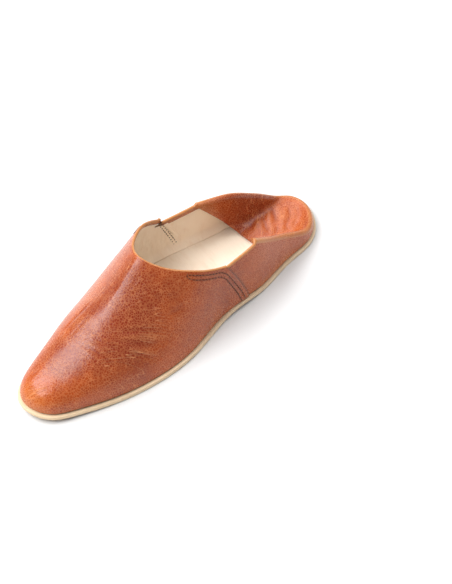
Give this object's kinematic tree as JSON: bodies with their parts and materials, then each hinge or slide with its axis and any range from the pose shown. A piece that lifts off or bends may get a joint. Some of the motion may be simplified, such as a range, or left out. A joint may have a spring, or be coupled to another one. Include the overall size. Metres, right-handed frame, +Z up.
{
  "type": "babouche slipper",
  "caption": "Left leather babouche slipper: pointed closed vamp, low sides with a lapped seam, back folded down flat inside the heel, on a thin flat leather sole.",
  "frame": {"origin": "on the ground plane, under the middle of the shoe's outline", "axes": "+Z up from the ground, +Y towards the heel, -Y towards the toe, +X towards the outer side of the left foot"},
  "size_m": [0.0923, 0.2653, 0.0671],
  "materials": {
    "sole_leather": "undyed vegetable-tanned leather, dry and slightly rough",
    "lining_leather": "thin undyed lining leather, matt",
    "upper_leather": "cognac brown leather with a waxed gloss and fine creases"
  },
  "bodies": {
    "root": {"outsole": "sole_leather", "insole": "lining_leather", "upper": "upper_leather"}
  },
  "joints": []
}
